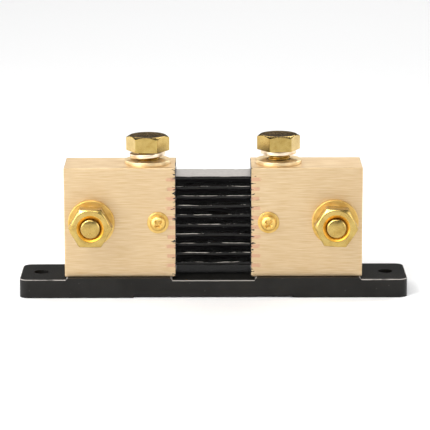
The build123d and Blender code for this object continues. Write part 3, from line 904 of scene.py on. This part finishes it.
strip_nodes = [f"resistance_strip_{k:02d}" for k in range(1, 11)]
first_low, first_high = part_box(strip_nodes[0])
top_level = middle(strip_nodes[0]).z
pitch = top_level - middle(strip_nodes[1]).z
bar_values = {"Length": first_high.x - first_low.x, "Width": first_high.y - first_low.y,
              "Thickness": first_high.z - first_low.z, "Drop": pitch, "Seed": 3.0, "Finish": lacquer}
top_strip = grown(strips, Count=1, Top=top_level, Skin=0.08 * MM, Bend=0.05 * MM, **bar_values)
others = grown(strips, Count=9, Top=top_level - pitch, Skin=0.20 * MM, Bend=0.30 * MM, **bar_values)
NOTCH_WIDTH = 1.5
NOTCH_DEPTH = 0.8
NOTCHES_AT = (-2.9, 8.0)
half_width = NOTCH_WIDTH / 2
for x in NOTCHES_AT:
    file_round = turned([(0, -2), (half_width, -2), (half_width, 2), (0, 2)], 24)
    file_round.transform(Matrix.Diagonal((1, NOTCH_DEPTH / half_width, 1, 1)))
    file_round.transform(Matrix.Translation((x * MM, first_high.y, top_level)))
    top_strip = cut(top_strip, file_round, strip_bare_and_reflection)
# the top strip's upward faces are painted grey: partly a guess at bare metal, partly a painted reflection of
# the bright room
for face in top_strip.polygons:
    if face.normal.z > 0.8:
        face.material_index = 1
bare = [face.material_index for face in top_strip.polygons].count(1)
print("strip pitch in mm:", round(pitch / MM, 3), "bare faces:", bare, "finishes:",
    len(top_strip.materials))
piece = assembled("lacquered_strips", [(top_strip, lacquer, UP), (others, lacquer, UP)], 120)
belongs(piece, "root", "strip_lacquer", *strip_nodes)

# %% [markdown]
# ## Braze
# Molten braze is drawn into the saw cut round the strip, and freezes with a soft, uneven outline. On
# the ground front face it shows as a pink dash. A tree places one bar of braze in each saw cut, gives
# each its own length, and then roughens them, so their outlines wander.

# %% Braze grown by a tree
braze, has = new_tree("braze_in_saw_cuts", {
    "Length": "Float", "Depth": "Float", "Height": "Float", "Count": "Int", "Drop": "Float", "Top": "Float",
    "Inner": "Float", "Wander": "Float", "Seed": "Int", "Finish": "Material"})
cut_size = add(braze, "ShaderNodeCombineXYZ", {"X": has["Length"], "Y": has["Depth"], "Z": has["Height"]})
filler = add(braze, "GeometryNodeMeshCube", {"Size": cut_size, "Vertices X": 14, "Vertices Y": 40,
    "Vertices Z": 7})
half = add(braze, "ShaderNodeMath", {0: has["Length"], 1: 0.5}, operation="MULTIPLY")
inward = add(braze, "ShaderNodeCombineXYZ", {"X": half})
seated = add(braze, "GeometryNodeTransform", {"Geometry": filler, "Translation": inward})
lengths = add(braze, "FunctionNodeRandomValue", {
    0: (0.86, 1.0, 0.92), 1: (1.16, 1.0, 1.12), "Seed": has["Seed"]}, data_type="FLOAT_VECTOR")
loose, where = stacked(braze, has, seated, {"X": has["Inner"], "Z": has["Top"]}, Scale=lengths)
ripple = add(braze, "ShaderNodeTexNoise", {"Vector": where, "W": has["Seed"], "Scale": per_metre(0.9),
    "Detail": 2.0}, noise_dimensions="4D")
centred = add(braze, "ShaderNodeVectorMath", {0: ripple.outputs["Color"], 1: (0.5, 0.5, 0.5)},
    operation="SUBTRACT")
flat_on_face = add(braze, "ShaderNodeVectorMath", {0: centred, 1: (1.6, 0.06, 1.0)}, operation="MULTIPLY")
ripple_move = add(braze, "ShaderNodeVectorMath", {0: flat_on_face, "Scale": has["Wander"]},
    operation="SCALE")
uneven = add(braze, "GeometryNodeSetPosition", {"Geometry": loose, "Offset": ripple_move})
end_tree(braze, uneven, has["Finish"])

for name, side in SIDES.items():
    low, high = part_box(f"braze_{name}")
    run = (high.x - low.x) + 0.35 * MM
    beads = grown(braze, Length=run, Depth=high.y - low.y + 0.1 * MM, Height=1.22 * MM, Count=10,
        Drop=pitch,
                  Top=top_level, Inner=block_low.x + 0.02 * MM, Wander=0.8 * MM, Seed=5 + side,
                  Finish=braze_ground)
    if side < 0:
        beads.transform(Matrix.Scale(-1, 4, (1, 0, 0)))
    piece = assembled(f"braze_beads_{name}", [(beads, braze_ground, UP)], 40)
    belongs(piece, "root", "braze_alloy", f"braze_{name}")

# %% [markdown]
# ## Studio
# A small product is lit in a white tent: soft light from all round, a larger and brighter panel high
# on the left, and a darker patch where the camera looks in. Brass needs that dark patch, because metal
# shows nothing but what it mirrors, and a room that is white all over leaves it flat and grey.
# A small lamp on each side keeps the paper behind the object as white as the rest.
# The standard view transform keeps the colours as they were chosen.

# %% Floor, room and lamps
floor_mesh = bpy.data.meshes.new("floor")
reach = 4.0
floor_mesh.from_pydata([(-reach, -reach, cad_low.z), (reach, -reach, cad_low.z), (reach, reach, cad_low.z),
                        (-reach, reach, cad_low.z)], [], [(0, 1, 2, 3)])
floor = link("studio_floor", floor_mesh)
paper, paper_tree, place = new_material("paper_white_matt")
fibre = add(paper_tree, "ShaderNodeTexNoise", {"Vector": place.outputs["Object"], "Scale": per_metre(0.8)})
paper_colour = add(paper_tree, "ShaderNodeMix", {0: fibre, 6: linear("#EDEDED"), 7: linear("#F4F4F4")},
    data_type="RGBA")
paper_shader = add(paper_tree, "ShaderNodeBsdfPrincipled", {"Base Color": paper_colour.outputs[2],
    "Roughness": 0.9})
connect(paper_tree, paper_shader)
floor_mesh.materials.append(paper)

world = bpy.data.worlds.new("white_tent")
bpy.context.scene.world = world
world.use_nodes = True
tent = world.node_tree
tent.nodes.clear()
look = add(tent, "ShaderNodeTexCoord")
parts_of_look = add(tent, "ShaderNodeSeparateXYZ", {"Vector": look.outputs["Generated"]})
sideways = add(tent, "ShaderNodeMath", {0: parts_of_look.outputs["X"]}, operation="ABSOLUTE")
flanks = add(tent, "ShaderNodeMapRange", span(sideways, 0.30, 0.85, 0.05, 1.5))
height = add(tent, "ShaderNodeMapRange", span(parts_of_look.outputs["Z"], 0.2, 0.75, 1.0, 0.3))
brightness = add(tent, "ShaderNodeMath", {0: flanks, 1: height}, operation="MULTIPLY")
wall = add(tent, "ShaderNodeBackground", {"Color": linear("#FFFFFF"), "Strength": brightness})
add(tent, "ShaderNodeOutputWorld", {"Surface": wall})

# Each lamp: where it stands, what it points at, its width and height, and its power in watts.
OBJECT_MIDDLE = (0, 0, 0.02)
LAMPS = {
    "panel_front": ((-0.22, -0.66, 0.72), OBJECT_MIDDLE, (0.9, 0.45), 7.0),
    "key_high_left": ((-0.52, -0.60, 0.70), OBJECT_MIDDLE, (0.3, 0.3), 3.6),
    "panel_back": ((0.10, 1.00, 0.95), OBJECT_MIDDLE, (0.9, 0.6), 8.0),
    "panel_left": ((-0.70, -0.52, 0.30), OBJECT_MIDDLE, (0.35, 0.4), 3.4),
    "panel_right": ((0.70, -0.52, 0.30), OBJECT_MIDDLE, (0.35, 0.4), 1.1),
    "floor_glow_left": ((-0.26, 0.14, 0.13), (-0.23, 0.12, 0), (0.16, 0.16), 0.35),
    "floor_glow_right": ((0.26, 0.14, 0.13), (0.23, 0.12, 0), (0.16, 0.16), 0.35),
}
for name, (spot, target, size, power) in LAMPS.items():
    lamp = bpy.data.lights.new(name, "AREA")
    lamp.shape = "RECTANGLE"
    lamp.size, lamp.size_y = size
    lamp.energy = power
    holder = bpy.data.objects.new(name, lamp)
    holder.location = spot
    holder.rotation_euler = (Vector(target) - Vector(spot)).to_track_quat("-Z", "Y").to_euler()
    bpy.context.scene.collection.objects.link(holder)
bpy.context.scene.view_settings.view_transform = "Standard"
print("lamps:", len(LAMPS))

# %% [markdown]
# ## Camera
# A long lens from about 0.85 m, slightly above the object and square to its front, which keeps the
# blocks' sides almost parallel.

# %% Camera
camera = bpy.data.cameras.new("camera")
camera.sensor_width = 36.0
camera.lens = 210.4
camera.clip_start = 0.01
viewer = bpy.data.objects.new("camera", camera)
bpy.context.scene.collection.objects.link(viewer)
TILT_DOWN = 0.213
PAN = 0.002
ROLL = -0.002
viewer.matrix_world = (Matrix.Translation((-0.0011, -0.8537, 0.2113))
                       @ Matrix.Rotation(-PAN, 4, "Z")
                       @ Matrix.Rotation(math.pi / 2 - TILT_DOWN, 4, "X")
                       @ Matrix.Rotation(ROLL, 4, "Z"))
bpy.context.scene.camera = viewer
print("camera tilt in degrees:", round(math.degrees(TILT_DOWN), 1))
